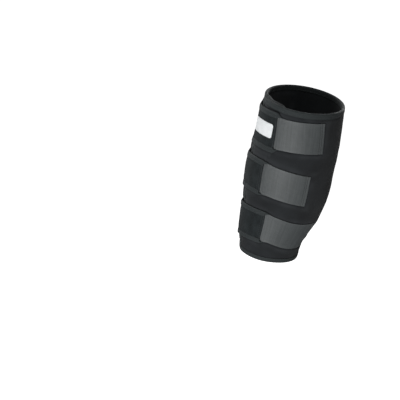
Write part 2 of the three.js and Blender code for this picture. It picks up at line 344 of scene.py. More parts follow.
def slab(name, under, over, flat, wear, material):
    """A closed sheet between two grids of points that share their columns and rows."""
    columns, rows = over.shape[:2]
    count = columns * rows
    low = np.arange(count).reshape(columns, rows)
    high = low + count
    sides = [(high[:, 0], low[:, 0]), (low[:, -1], high[:, -1]), (low[0], high[0]), (high[-1], low[-1])]
    rims = [grid_faces(np.stack(side, axis=1)) for side in sides]
    faces = np.concatenate([grid_faces(low), grid_faces(high)[:, ::-1], *rims])
    points = np.concatenate([under.reshape(-1, 3), over.reshape(-1, 3)])
    both = np.concatenate([flat.reshape(-1, 2)] * 2)
    worn = np.concatenate([wear.ravel()] * 2)
    return add_mesh(name, points, faces, both, worn, material)


def sweep(name, sections, closed, flat, wear, material):
    """A closed tube through sections of equal point counts, joined end to end or capped."""
    count, sides = sections.shape[:2]
    index = np.arange(count * sides).reshape(count, sides)
    faces = [tube_faces(np.concatenate([index, index[:1]]) if closed else index)]
    if not closed:
        half = sides // 2
        for row, turned in ((index[0], 1), (index[-1], -1)):
            across = np.stack([row[:half], row[::-1][:half]], axis=1)
            faces.append(grid_faces(across)[:, ::turned])
    points = sections.reshape(-1, 3)
    return add_mesh(
        name, points, np.concatenate(faces), flat.reshape(-1, 2), wear.ravel(), material
    )


def spaced(length, step):
    """Distances from 0 to length, close together at both ends so that an edge can be round."""
    count = max(2, round((length - 2 * EDGE_ZONE) / step) + 1)
    inner = np.linspace(EDGE_ZONE, length - EDGE_ZONE, count)
    return np.concatenate([EDGE_STEPS, inner, length - EDGE_STEPS[::-1]])


def round_edge(distance, radius):
    """Share of a sheet's thickness at a distance from its edge."""
    short = 1 - np.clip(distance / radius, 0, 1)
    return np.maximum(EDGE_LEFT, np.sqrt(1 - short**2))


def paired(a, b):
    """Two arrays of values as one array of pairs."""
    return np.stack(np.broadcast_arrays(a, b), axis=-1)


def lengths(points):
    """Distance along a line of points, from its start."""
    steps = np.linalg.norm(np.diff(points, axis=0), axis=1)
    return np.concatenate([[0], np.cumsum(steps)])


def along_line(at, along, values):
    """Values of a line's points, read at distances along it."""
    return np.stack([np.interp(at, along, column) for column in values.T], axis=-1)


def unit(vectors):
    """Vectors brought to a length of 1."""
    return vectors / np.maximum(1e-9, np.linalg.norm(vectors, axis=-1, keepdims=True))


# A stitch is a thread that arches out of the cloth. Its rings of points, from one end to the other:
STITCH_RINGS = np.array([-1, -0.86, -0.5, 0, 0.5, 0.86, 1])  # places, in half lengths from its middle
STITCH_GIRTHS = np.array([0.25, 0.7, 0.95, 1, 0.95, 0.7, 0.25])  # radii, in thicknesses
STITCH_SIDES = 6
STITCH_RISE = 0.35  # how far its middle stands out, in thicknesses
STITCH_ARCH = 1.1  # how much lower its ends are


def stitch_faces():
    """Faces of one stitch: its side, then two quads for each end."""
    index = np.arange(len(STITCH_RINGS) * STITCH_SIDES).reshape(-1, STITCH_SIDES)
    halves = np.array([(0, 1, 2, 3), (0, 3, 4, 5)])
    return np.concatenate([tube_faces(index), index[0][halves[:, ::-1]], index[-1][halves]])


def stitches(name, rows, material, pitch, length, thick):
    """Stitches along rows, each row a line of points on the cloth and the cloth's normals there."""
    angles = np.radians(np.arange(STITCH_SIDES) * 360 / STITCH_SIDES)
    cosine, sine = np.cos(angles)[:, None], np.sin(angles)[:, None]
    rise = thick * (STITCH_RISE - STITCH_ARCH * STITCH_RINGS**4)
    radius = thick * STITCH_GIRTHS
    quads = stitch_faces()
    all_points = []
    all_flat = []
    all_faces = []
    start = 0
    for points, normals in rows:
        along = lengths(points)
        count = max(1, round(along[-1] / pitch))
        middles = (np.arange(count) + 0.5) * along[-1] / count
        at = middles[:, None] + STITCH_RINGS * length / 2
        spot = along_line(at, along, points)
        up = unit(along_line(at, along, normals))
        side = unit(np.cross(unit(spot[:, -1:] - spot[:, :1]), up))
        centre = spot + up * rise[:, None]
        off = side[:, :, None] * cosine + up[:, :, None] * sine
        body = (centre[:, :, None] + off * radius[:, None, None]).reshape(count, -1, 3)
        starts = start + np.arange(count) * body.shape[1]
        all_points.append(body.reshape(-1, 3))
        all_flat.append(paired(at[:, :, None], angles).reshape(-1, 2))
        all_faces.append((facing_out(body[0], quads) + starts[:, None, None]).reshape(-1, 4))
        start += len(all_points[-1])
    points = np.concatenate(all_points)
    flat = np.concatenate(all_flat)
    wear = np.zeros(len(points))
    return add_mesh(name, points, np.concatenate(all_faces), flat, wear, material)


def row_on(point_at, place, level):
    """A row for stitches: the points at a place and a level, and the normals there."""
    points = point_at(*place, level)
    return points, unit(point_at(*place, level + 1) - points)


def seam_dips(distance, rows):
    """How far rows of stitches draw cloth down, at a distance from the end that they run along."""
    return sum(SEAM_DIP * bell(distance, row, SEAM_SPREAD) for row in rows)


# Materials


BANDS = 10 / math.pi  # bands of a wave texture to one unit, at a scale of 1
MIX_COLOURS = (6, 7)  # sockets of a mix node's two colours
MIXED_COLOUR = 2  # socket of the colour that it gives


def linear(*srgb):
    """A colour of three 8-bit screen values, in the scene's linear values."""
    shares = [v / 255 for v in srgb]
    return [s / 12.92 if s <= 0.04045 else ((s + 0.055) / 1.055) ** 2.4 for s in shares]


class Cloth:
    """A material's nodes. Most methods add one and return its output."""

    def __init__(self, name):
        self.material = bpy.data.materials.new(name)
        self.material.use_nodes = True
        self.tree = self.material.node_tree
        self.shader = self.tree.nodes["Principled BSDF"]
        at = self.tree.nodes.new("ShaderNodeUVMap")
        at.uv_map = "cloth"
        self.at = at.outputs["UV"]

    def add(self, kind, inputs, settings=()):
        made = self.tree.nodes.new("ShaderNode" + kind)
        for key, value in dict(settings).items():
            setattr(made, key, value)
        for key, value in inputs.items():
            self.put(made.inputs[key], value)
        return made

    def put(self, socket, value):
        if isinstance(value, bpy.types.NodeSocket):
            self.tree.links.new(value, socket)
        else:
            socket.default_value = value

    def scaled(self, scale):
        return self.add("Mapping", {"Vector": self.at, "Scale": scale}).outputs[0]

    def math(self, operation, *values):
        return self.add("Math", dict(enumerate(values)), {"operation": operation}).outputs[0]

    def times(self, value, factor):
        return self.math("MULTIPLY", value, factor)

    def plus(self, *values):
        return reduce(partial(self.math, "ADD"), values)

    def waves(self, per_mm, along, distortion=0.0, detail_scale=1.0):
        """Ridges that follow one another along the cloth or across it, from 0 to 1."""
        made = self.add(
            "TexWave",
            {
                "Vector": self.scaled((1, 0, 0) if along else (0, 1, 0)),
                "Scale": per_mm * UV_MM / BANDS,
                "Distortion": distortion,
                "Detail": 1.0,
                "Detail Scale": detail_scale,
            },
            {"wave_type": "BANDS", "bands_direction": "X" if along else "Y"},
        )
        return made.outputs["Fac"]

    def noise(self, per_mm, detail, stretch=(1, 1, 1)):
        at = self.scaled(stretch)
        inputs = {"Vector": at, "Scale": per_mm * UV_MM, "Detail": detail}
        return self.add("TexNoise", inputs).outputs["Fac"]

    def cells(self, per_mm):
        inputs = {"Vector": self.at, "Scale": per_mm * UV_MM}
        return self.add("TexVoronoi", inputs).outputs["Distance"]

    def blend(self, share, low, high):
        """A colour between two, by a share from 0 to 1."""
        ends = [v if isinstance(v, bpy.types.NodeSocket) else (*v, 1) for v in (low, high)]
        inputs = {"Factor": share, **dict(zip(MIX_COLOURS, ends))}
        return self.add("Mix", inputs, {"data_type": "RGBA"}).outputs[MIXED_COLOUR]

    def spread(self, value, to_low, to_high, low=0.3, high=0.7):
        """A value's range from low to high brought to another range."""
        inputs = {"Value": value, "From Min": low, "From Max": high, "To Min": to_low, "To Max": to_high}
        return self.add("MapRange", inputs).outputs[0]

    def worn(self, body, rubbed, share):
        """A colour that gives way to another where the cloth is rubbed."""
        wear = self.add("Attribute", {}, {"attribute_name": "wear"}).outputs["Fac"]
        return self.blend(self.times(wear, share), body, rubbed)

    def shade(self, inputs):
        """Sets the shader's inputs and returns the material."""
        for key, value in inputs.items():
            self.put(self.shader.inputs[key], value)
        return self.material

    def finish(self, colour, roughness, height, depth_mm, specular, sheen=0.05, sheen_rough=0.5):
        """Joins colour, roughness and relief to the shader, and sets its gloss and sheen."""
        bump = self.add("Bump", {"Height": height, "Distance": depth_mm * MM, "Strength": 1.0})
        inputs = {
            "Base Color": colour,
            "Roughness": roughness,
            "Normal": bump.outputs[0],
            "Specular IOR Level": specular,
            "Sheen Weight": sheen,
            "Sheen Roughness": sheen_rough,
        }
        return self.shade(inputs)


def knit_material():
    """Fine jersey on foam: small stitch columns, lint and paler worn edges."""
    c = Cloth("knit_on_foam")
    columns = c.waves(1.1, along=True, distortion=0.6, detail_scale=2.0)
    courses = c.waves(1.4, along=False, distortion=0.8, detail_scale=2.0)
    knit = c.times(columns, c.spread(courses, 0.45, 1, low=0, high=1))
    lint = c.noise(0.9, detail=4)
    mottle = c.noise(0.035, detail=2)
    share = c.plus(
        c.times(knit, 0.35), c.spread(mottle, 0, 0.35), c.spread(lint, 0, 0.3, low=0.5, high=0.75)
    )
    body = c.blend(share, linear(23, 24.5, 26.5), linear(43, 46.5, 49))
    colour = c.worn(body, linear(62, 65, 68), 0.6)
    rough = c.spread(lint, 0.78, 0.95)
    height = c.plus(knit, c.times(lint, 0.5))
    return c.finish(colour, rough, height, depth_mm=0.12, specular=0.12, sheen=0.06, sheen_rough=0.6)


def tape_material():
    """Woven edge tape: close ribs and picks, paler where the fold rubs."""
    c = Cloth("edge_tape")
    ribs = c.waves(1.6, along=True, distortion=0.3)
    picks = c.waves(2.2, along=False, distortion=0.3)
    weave = c.plus(c.times(ribs, 0.6), c.times(picks, 0.4))
    fuzz = c.noise(0.7, detail=4)
    share = c.plus(c.times(weave, 0.5), c.spread(fuzz, 0, 0.4, low=0.35))
    body = c.blend(share, linear(32, 35.5, 36.5), linear(58, 64, 65))
    colour = c.worn(body, linear(76, 80, 82), 0.5)
    rough = c.spread(fuzz, 0.6, 0.85)
    height = c.plus(weave, c.times(fuzz, 0.4))
    return c.finish(colour, rough, height, depth_mm=0.1, specular=0.2)


def elastic_material():
    """Knitted elastic: ribs across it, fine threads along it, and a heathered grey."""
    c = Cloth("ribbed_elastic")
    ribs = c.waves(1 / RIB_PITCH, along=True)
    threads = c.waves(1.9, along=False, distortion=0.4)
    streaks = c.noise(0.5, detail=3, stretch=(0.12, 1, 1))
    uneven = c.noise(0.42, detail=2, stretch=(1, 0.05, 1))
    fuzz = c.noise(1.3, detail=4)
    share = c.plus(
        c.times(ribs, 0.3),
        c.times(threads, 0.25),
        c.spread(streaks, 0, 0.1),
        c.spread(fuzz, 0, 0.22, low=0.4),
        c.spread(uneven, -0.12, 0.12),
    )
    body = c.blend(share, linear(51, 54.5, 55.5), linear(89, 93.5, 94.5))
    colour = c.worn(body, linear(100, 103, 104), 0.5)
    rough = c.spread(fuzz, 0.48, 0.62)
    height = c.plus(c.times(threads, 0.7), c.times(fuzz, 0.5))
    return c.finish(colour, rough, height, depth_mm=0.05, specular=0.5)


def pile_material():
    """Brushed loop pile: small tangled loops with paler tips."""
    c = Cloth("brushed_loops")
    loops = c.cells(0.9)
    tangle = c.noise(0.8, detail=5)
    brushed = c.noise(0.12, detail=3, stretch=(1, 0.4, 1))
    share = c.plus(
        c.spread(loops, 0.35, 0, low=0),
        c.spread(tangle, 0, 0.45, low=0.35),
        c.spread(brushed, 0, 0.3, low=0.35, high=0.65),
    )
    body = c.blend(share, linear(16, 19, 20), linear(41, 47, 49))
    colour = c.worn(body, linear(58, 62, 64), 0.5)
    rough = c.spread(tangle, 0.85, 1.0)
    height = c.math("SUBTRACT", tangle, c.times(loops, 0.8))
    return c.finish(colour, rough, height, depth_mm=0.25, specular=0.06, sheen=0.04, sheen_rough=0.7)


def satin_material():
    """White woven satin: fine floats along the patch and a soft gloss."""
    c = Cloth("white_satin")
    floats = c.waves(3.2, along=False, distortion=0.5)
    picks = c.waves(1.5, along=True, distortion=0.5)
    soil = c.noise(0.12, detail=3)
    share = c.plus(c.times(floats, 0.4), c.times(picks, 0.2), c.spread(soil, 0, 0.4))
    body = c.blend(share, linear(228, 232, 234), linear(248, 250, 251))
    colour = c.worn(body, linear(206, 211, 212), 0.5)
    rough = c.spread(soil, 0.4, 0.6)
    height = c.plus(floats, c.times(picks, 0.5))
    return c.finish(colour, rough, height, depth_mm=0.05, specular=0.4, sheen_rough=0.4)


def thread_material(name, dark, pale):
    """Twisted sewing thread."""
    c = Cloth(name)
    twist = c.waves(2.5, along=True, distortion=0.5)
    fuzz = c.noise(1.5, detail=3)
    share = c.plus(c.times(twist, 0.6), c.spread(fuzz, 0, 0.4))
    colour = c.blend(share, dark, pale)
    rough = c.spread(fuzz, 0.5, 0.75)
    return c.finish(colour, rough, twist, depth_mm=0.06, specular=0.25)


KNIT = knit_material()
EDGE_TAPE = tape_material()
WEBBING = elastic_material()
PILE = pile_material()
SATIN = satin_material()
DARK_THREAD = thread_material("dark_thread", linear(40, 42, 44), linear(74, 77, 79))
GREY_THREAD = thread_material("grey_thread", linear(48, 50, 51), linear(84, 87, 88))
WHITE_THREAD = thread_material("white_thread", linear(196, 202, 204), linear(236, 240, 241))


# Wrap


def covered_by_straps(turn, z):
    """Where a strap lies on the wrap, from 0 to 1, and the distance outside the nearest strap."""
    near = near_turn(turn)
    outside = np.full(np.shape(z), FAR)
    for strap in STRAPS:
        width = np.where(near < strap["seam"], strap["width"], strap["elastic"])
        over = np.abs(z - strap_height(strap, turn)) - width / 2
        past = np.maximum(strap["free"] - near, near - strap["sewn"]) * MM_PER_TURN
        outside = np.minimum(outside, np.maximum(over, past))
    return 1 - smooth(outside, -1, 4), outside


def foam_swell(turn, z):
    """How high the foam swells where a strap presses in beside it: it meets the edge of the tape on
    a tab, and reaches part of the thickness of the elastic."""
    near = near_turn(turn)
    to_tape = tab_lift(near) - wrap_top(near) - TAPE_LIE - TAPE / 2 - 0.1
    fill = np.clip(to_tape, 0, SWELL_MOST)
    swell = 0.0
    for strap in STRAPS:
        seam = strap["seam"]
        lap = seam - LAP_TURN
        away = np.abs(z - strap_height(strap, turn))
        off_tab = np.maximum(away - strap["width"] / 2, (strap["free"] - near) * MM_PER_TURN)
        past_sewn = (near - strap["sewn"]) * MM_PER_TURN
        off_elastic = np.maximum(away - elastic_width(strap, near) / 2, past_sewn)
        bare = 1 - smooth(near, lap - 2, lap + 4)  # no elastic between the tab and the wrap
        under = smooth(off_tab, -1 - 8 * bare, 1 - 3 * bare)
        taped = 1 - smooth(near, seam, seam + tail_turns(strap))
        by_tab = fill * under + TAB_SWELL * smooth(off_tab, -0.3, 1.2)
        by_tab *= (1 - smooth(off_tab, *SWELL_FADE)) * taped
        by_elastic = ELASTIC_SWELL * smooth(off_elastic, -0.5, 3)
        by_elastic *= (1 - smooth(off_elastic, *SWELL_FADE)) * (1 - bare)
        swell = np.maximum(swell, np.maximum(by_tab, by_elastic))
    return swell


def crumple(girth, z, folds):
    """Relief of one kind of folds."""
    height, length, tall, seed = folds
    return height * soft_noise(girth / length, z / tall, seed)


def wrap_relief(turn, z, inset, girth):
    """Height of the wrap's outer face over its wall."""
    cover, outside = covered_by_straps(turn, z)
    open_side = 1 - smooth(turn, 4, 14)  # the part under the lap stays plain
    on_calf = bell(near_turn(turn - 200), 0, 75) * bell(z, -72, 30)
    folds = sum(crumple(girth, z, kind) for kind in FOLDS) + on_calf * crumple(girth, z, CALF_FOLDS)
    beside = smooth(outside, 0, 4) * (1 - smooth(outside, 14, 30))
    on_shin = bell(near_turn(turn), -8, 30) * (1 - 0.5 * smooth(z, 10, 40))
    swell = foam_swell(turn, z) + SHIN_BULGE * on_shin * beside
    relief = open_side * (swell - STRAP_PRESS * cover + folds * (1 - cover))
    pinch = EDGE_PINCH * (1 - smooth(inset, 6.2, 10))
    puckers = crumple(girth, z, PUCKERS) * np.exp(-np.maximum(0, inset - TAPE_WIDTH) / 4)
    free = smooth(inset, TAPE_WIDTH, 11)
    return relief * free - pinch + puckers * smooth(inset, 6, 7.5) * open_side


def row_heights(turn):
    """Heights of the wrap's rows of points at a turn: they follow the straps' edges and crowd there."""
    edges = [np.full(turn.shape, -HEIGHT / 2)]
    for strap in STRAPS:
        middle = strap_height(strap, turn)
        half = strap["elastic"] / 2 + 1.5
        edges += [middle - half, middle + half]
    edges.append(np.full(turn.shape, HEIGHT / 2))
    heights = []
    for low, high, count in zip(edges, edges[1:], WRAP_ROWS):
        share = np.arange(count) / count
        eased = 0.5 - 0.5 * np.cos(math.pi * share)
        crowded = ROW_CROWDING * eased + (1 - ROW_CROWDING) * share
        heights.append(low + (high - low) * crowded)
    return np.concatenate([*heights, edges[-1]], axis=1)


def make_wrap():
    """The foam sheet, its ends drawn back at round corners."""
    columns = np.linspace(0, 1, WRAP_COLUMNS)[:, None]
    turn = COVERED_TURN + (CLOSING_TURN - 360 - COVERED_TURN) * columns
    z = row_heights(turn)
    below_rim = HEIGHT / 2 - np.abs(z)
    inset = corner_inset(CORNER, below_rim)
    from_covered = (COVERED_TURN - turn) / turns_per_mm(COVERED_TURN, z, WALL / 2)
    from_closing = (turn + 360 - CLOSING_TURN) / turns_per_mm(CLOSING_TURN, z, LAYER + WALL / 2)
    at_covered = covered_end(z, drawn_back(from_covered, inset, CORNER))
    at_closing = closing_end(z, drawn_back(from_closing, inset, CORNER))
    turns = np.where(from_covered < from_closing, at_covered, at_closing)
    edge = np.minimum(np.minimum(from_covered, from_closing), below_rim)
    girth = np.radians(-turns) * GIRTH_RADIUS
    relief = wrap_relief(turns, z, edge, girth)
    middle = (WALL + relief + LINING_LIFT) / 2
    half = (WALL + relief - LINING_LIFT) / 2 * round_edge(edge, 1.2)
    flat = paired(girth, z)
    _, outside = covered_by_straps(turns, z)
    rub = 0.5 * bell(outside, 4, 4) * (turns < CLOSING_TURN)
    wear = rub * (0.5 + 0.5 * soft_noise(girth / 9, z / 9, 6))
    inner = on_wrap(turns, z, middle - half)
    outer = on_wrap(turns, z, middle + half)
    wrap = slab("wrap_sheet", inner, outer, flat, wear, KNIT)
    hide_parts("wrap")
    return wrap


# Tape folded over an edge


def tape_section(thickness):
    """Outline of folded tape as insets and depths: out along its outer face and back along its inner."""
    legs = np.array([7, 6.96, 6.88, 6.72, 6.4, 6, 5.6, 5.25, 4.9, 4.55, 4.2, 3.7, 3, 2.2])
    arc = np.radians(np.linspace(90, -90, 13))
    reach = TAPE_FOLD + TAPE
    rise = thickness / 2 + TAPE_LIE
    dip = STITCH_DIP * bell(legs, TAPE_STITCH, 0.55) + 0.14 * smooth(legs, 6, TAPE_WIDTH)
    inset = np.concatenate([legs, TAPE_FOLD - reach * np.cos(arc), legs[::-1]])
    depth = np.concatenate(
        [thickness + TAPE_LIE - dip, thickness / 2 + rise * np.sin(arc), (dip - TAPE_LIE)[::-1]]
    )
    line = paired(inset, depth)
    run = unit(np.gradient(line, axis=0))
    normal = paired(-run[:, 1], run[:, 0])
    normal *= -1 if normal[0, 1] < 0 else 1
    along = lengths(line)
    half = TAPE / 2 * round_edge(np.minimum(along, along[-1] - along), TAPE / 2)
    outer = line + normal * half[:, None]
    inner = line - normal * half[:, None]
    both = np.concatenate([outer, inner[::-1]])
    across = np.concatenate([along, along[::-1]])
    folded = bell(along, along[-1] / 2, 1.6)
    return both, across, np.concatenate([folded, folded[::-1]])


def fold_tape(name, node, edge_line, point_at, thickness, closed, seed):
    """Tape along an edge. edge_line gives the edge's turns and places at an inset from it."""
    section, across, folded = tape_section(thickness)
    points = np.stack([point_at(*edge_line(inset), depth) for inset, depth in section], axis=1)
    along = lengths(points[:, len(section) // 4])
    flat = paired(along[:, None], across[None, :])
    rub = soft_noise(along / 8, along * 0, seed)
    wear = folded[None, :] * (0.45 + 0.35 * rub[:, None])
    tape = sweep(name, points, closed, flat, wear, EDGE_TAPE)
    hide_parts(node)
    return tape


def tape_rows(edge_line, point_at, thickness):
    """Rows for the stitches on both faces of the tape along an edge."""
    depth = thickness + TAPE_LIE + TAPE / 2 - STITCH_DIP
    place = edge_line(TAPE_STITCH)
    points, normals = row_on(point_at, place, thickness - depth)
    return [row_on(point_at, place, depth), (points, -normals)]


def wrap_edge(inset):
    """Turns and heights once round the wrap at an inset from its edge."""
    rim = HEIGHT / 2 - CORNER
    reach = CORNER - inset
    up = np.linspace(-rim, rim, 151)
    share = np.linspace(0, 1, 261)
    level = HEIGHT / 2 - inset

    def corner(end, sign, start):
        angle = np.radians(np.linspace(start, start - 90, 13))
        z = sign * rim + reach * np.sin(angle)
        return end(z, CORNER - reach * np.abs(np.cos(angle))), z

    def along(sign):
        z = np.full(share.shape, sign * level)
        first = covered_end(z, CORNER)
        last = closing_end(z, CORNER)
        return first + (last - first) * share, z

    bottom = along(-1)
    parts = [
        (covered_end(up, inset), up),
        corner(covered_end, 1, 180),
        along(1),
        corner(closing_end, 1, 90),
        (closing_end(up[::-1], inset), up[::-1]),
        corner(closing_end, -1, 0),
        (bottom[0][::-1], bottom[1]),
        corner(covered_end, -1, 270),
    ]
    return np.concatenate([np.array(part)[:, :-1] for part in parts], axis=1)


def make_edge_binding():
    """Tape round the wrap's whole edge, and its stitches."""
    tape = fold_tape("edge_tape", "edge_binding", wrap_edge, on_wrap, WALL, True, 11)
    rows = tape_rows(wrap_edge, on_wrap, WALL)
    sewn = stitches("edge_stitches", rows, DARK_THREAD, pitch=3.4, length=2.5, thick=0.19)
    return tape, sewn


# Straps


def make_elastic(strap):
    """Ribbed elastic from its sewn end to under the tab, gathered a little at the tab's seam."""
    fine = np.linspace(strap["sewn"], strap["seam"] - LAP_TURN, 400)
    along = lengths(on_leg(fine, strap_height(strap, fine), wrap_top(fine) + ELASTIC))
    ribs = round(along[-1] / RIB_PITCH)
    ribbed = np.linspace(1.2, along[-1], ribs * RIB_POINTS)
    s = np.concatenate([EDGE_STEPS, ribbed])[:, None]
    turn = np.interp(s, along, fine)
    breadth = strap["elastic"]
    v = spaced(breadth, 1.5)[None, :]
    share = v / breadth - 0.5
    from_side = np.minimum(v, breadth - v)
    at_seam = np.interp(strap["seam"], fine[::-1], along[::-1])
    before_seam = np.maximum(0, at_seam - s)
    gathered = np.exp(-before_seam / 5 - from_side / 6) * (s < at_seam + 2)
    waver = soft_noise(share * 5, s / 4, 21)
    creases = CREASE * gathered * np.sin(2 * math.pi * before_seam / CREASE_PITCH + waver)
    by_side = np.exp(-from_side / 0.8) * np.sign(share)
    scallop = SCALLOP * np.cos(2 * math.pi * s / RIB_PITCH) * by_side
    z = strap_height(strap, turn) + share * elastic_width(strap, turn) + scallop
    turns = turn - strap["lean"] * share
    groove = np.abs(np.cos(math.pi * s / RIB_PITCH)) ** 0.7 - 1
    ridge = RIB * groove * smooth(from_side, 0.6, 2)
    selvedge = SELVEDGE * bell(from_side, 1.2, 0.7)
    slack = 0.12 * soft_noise(s / 14, share * 4, 22)
    thick = ELASTIC - 0.25 * (1 - smooth(s, 1, 9)) - seam_dips(s, ELASTIC_SEAMS)
    rounding = round_edge(np.minimum(from_side, s), 0.5)
    centre = wrap_top(turns) + ELASTIC_LIE + thick / 2
    top = centre + (thick / 2 + ridge + selvedge + slack) * rounding + creases
    low = centre - thick / 2 * rounding + np.maximum(0, creases)
    flat = paired(s, v)
    rub = 0.6 + 0.4 * soft_noise(s / 5, share * 3, 23)
    wear = 0.8 * np.exp(-from_side / 2) * rub + 0.5 * np.exp(-s / 1.5)
    name = "elastic_" + strap["name"]
    elastic = slab(name, on_leg(turns, z, low), on_leg(turns, z, top), flat, wear, WEBBING)
    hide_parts("strap_" + strap["name"])
    seams = []
    inside = from_side[0] > 1.8
    for row in ELASTIC_SEAMS:
        k = int(np.argmin(np.abs(s[:, 0] - row)))
        place = turns[k, inside], z[k, inside]
        seams.append(row_on(on_leg, place, top[k, inside] + 0.02))
    sewn = stitches(name + "_stitches", seams, GREY_THREAD, pitch=2.9, length=2.2, thick=0.17)
    return elastic, sewn, along[-1]


def tab_turns(strap, turn, offset):
    """Turns on a tab: its seam leans, and its free end is square with round corners."""
    free = strap["free"]
    rate = turns_per_mm(free, strap_height(strap, free), WALL)
    inset = corner_inset(TAB_CORNER, strap["width"] / 2 - np.abs(offset))
    lean = strap["lean"] * np.maximum(0, 1 - (strap["seam"] - turn) / LEAN_TURN)
    from_free = drawn_back((turn - free) / rate, inset, TAB_CORNER)
    return free + from_free * rate - lean * offset / strap["width"]


def tail_turns(strap):
    """Turns that the tape on a tab runs on past the seam."""
    seam = strap["seam"]
    return TAPE_TAIL * turns_per_mm(seam, strap_height(strap, seam), LAYER + WALL)


def on_tab(strap, turn, offset, depth):
    """Points in a tab, at an offset up from its middle and a depth out from its inner face. Past the
    seam they come down onto the elastic."""
    past_seam = turn + strap["lean"] * offset / strap["width"] - strap["seam"]
    past = smooth(past_seam, 0, 0.75 * tail_turns(strap))
    lift = tab_lift(turn) - TAIL_DROP * past + depth * (1 - TAIL_THIN * past)
    return on_leg(turn, strap_height(strap, turn) + offset, lift)


def make_tab(strap):
    """Pull tab of brushed pile, with tape folded over its edges and its stitches."""
    half = strap["width"] / 2
    fine = np.linspace(strap["seam"], strap["free"], 500)
    point_at = partial(on_tab, strap)
    along = lengths(point_at(fine, 0, TAB))
    s = spaced(along[-1], 1.0)[:, None]
    offset = spaced(strap["width"], 1.0)[None, :] - half
    turn = tab_turns(strap, np.interp(s, along, fine), offset)
    from_side = half - np.abs(offset)
    from_free = along[-1] - s
    rows = TAB_SEAMS[strap["name"]]
    nap = 0.07 * soft_noise(s / 1.7, offset / 1.7, 31) + 0.1 * soft_noise(s / 7, offset / 7, 32)
    crown = 0.3 * smooth(from_side, 6, 16) * smooth(s, 4, 20)
    pinch = 0.2 * (1 - smooth(from_side, 6, 9)) + 0.2 * (1 - smooth(from_free, 6, 9))
    lift = nap + crown
    if strap["name"] == "top":
        by_label = np.abs(offset - LABEL_RISE) < LABEL_HEIGHT / 2 + 3
        lift = lift * (1 - smooth(turn, 13, 16) * by_label)
    thick = TAB + lift - pinch - seam_dips(s, rows)
    rounding = round_edge(np.minimum(from_side, np.minimum(s, from_free)), 0.7)
    flat = paired(s, offset)
    rub = soft_noise(s / 6, offset / 6, 33)
    wear = np.exp(-s / 1.5) * (0.5 + 0.4 * rub) + 0.25 * smooth(rub, 0.3, 0.9)
    name = "pull_tab_" + strap["name"]
    under = point_at(turn, offset, TAB / 2 * (1 - rounding))
    over = point_at(turn, offset, TAB / 2 + (thick - TAB / 2) * rounding)
    tab = slab(name, under, over, flat, wear, PILE)
    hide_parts("tab_" + strap["name"])

    edge_line = partial(tab_edge, strap)
    node = "tab_" + strap["name"] + "_binding"
    tape = fold_tape(name + "_tape", node, edge_line, point_at, TAB, False, 35)
    sewn_on = slice(TAIL_STATIONS + 1, -TAIL_STATIONS - 1)  # the tails have no stitches
    seams = [(points[sewn_on], normals[sewn_on]) for points, normals in tape_rows(edge_line, point_at, TAB)]
    places = np.linspace(-half + 1.2, half - 1.2, 120)
    on_tape = smooth(np.abs(places), half - 7.4, half - 6.8)
    level = TAB - SEAM_DIP + (TAPE_LIE + TAPE / 2 + SEAM_DIP) * on_tape
    for row in rows:
        start = np.full(places.shape, np.interp(row, along, fine))
        seams.append(row_on(point_at, (tab_turns(strap, start, places), places), level))
    sewn = stitches(name + "_stitches", seams, DARK_THREAD, pitch=3.2, length=2.4, thick=0.18)
    return tab, tape, sewn, along[-1]


def tab_edge(strap, inset):
    """Turns and offsets along a tab's upper edge, round its free end and back along its lower edge."""
    half = strap["width"] / 2
    free = strap["free"]
    rate = turns_per_mm(free, strap_height(strap, free), WALL)
    reach = TAB_CORNER - inset
    arc = np.radians(np.linspace(90, 0, 17))
    tail = np.linspace(1, 0, TAIL_STATIONS + 1)[:-1] ** 1.6
    sewn = np.linspace(strap["seam"], free + TAB_CORNER * rate, 131)[:-1]
    run = np.concatenate([strap["seam"] + tail * tail_turns(strap), sewn])
    past = np.concatenate([tail, np.zeros(sewn.shape)])
    end = free + (TAB_CORNER - reach * np.cos(arc)) * rate
    end_offset = half - TAB_CORNER + reach * np.sin(arc)
    across = np.linspace(half - TAB_CORNER, -(half - TAB_CORNER), 21)[1:-1]
    lean = strap["lean"] / 2 * np.clip(1 - (strap["seam"] - run) / LEAN_TURN, 0, 1)
    turns = np.concatenate(
        [run - lean, end, np.full(across.shape, free + inset * rate), end[::-1], (run + lean)[::-1]]
    )
    elastic_half = elastic_width(strap, run) / 2
    edge = half + (elastic_half - half) * smooth(past, 0, 0.8)
    lap = (elastic_half - half + TAPE_WIDTH) * np.where(past > 0, TAIL_START * (1 - past), 1)
    tape_width = np.maximum(edge - elastic_half + lap, TAIL_END)
    upper = edge - inset * tape_width / TAPE_WIDTH
    offsets = np.concatenate([upper, end_offset, across, -end_offset[::-1], -upper[::-1]])
    return turns, offsets


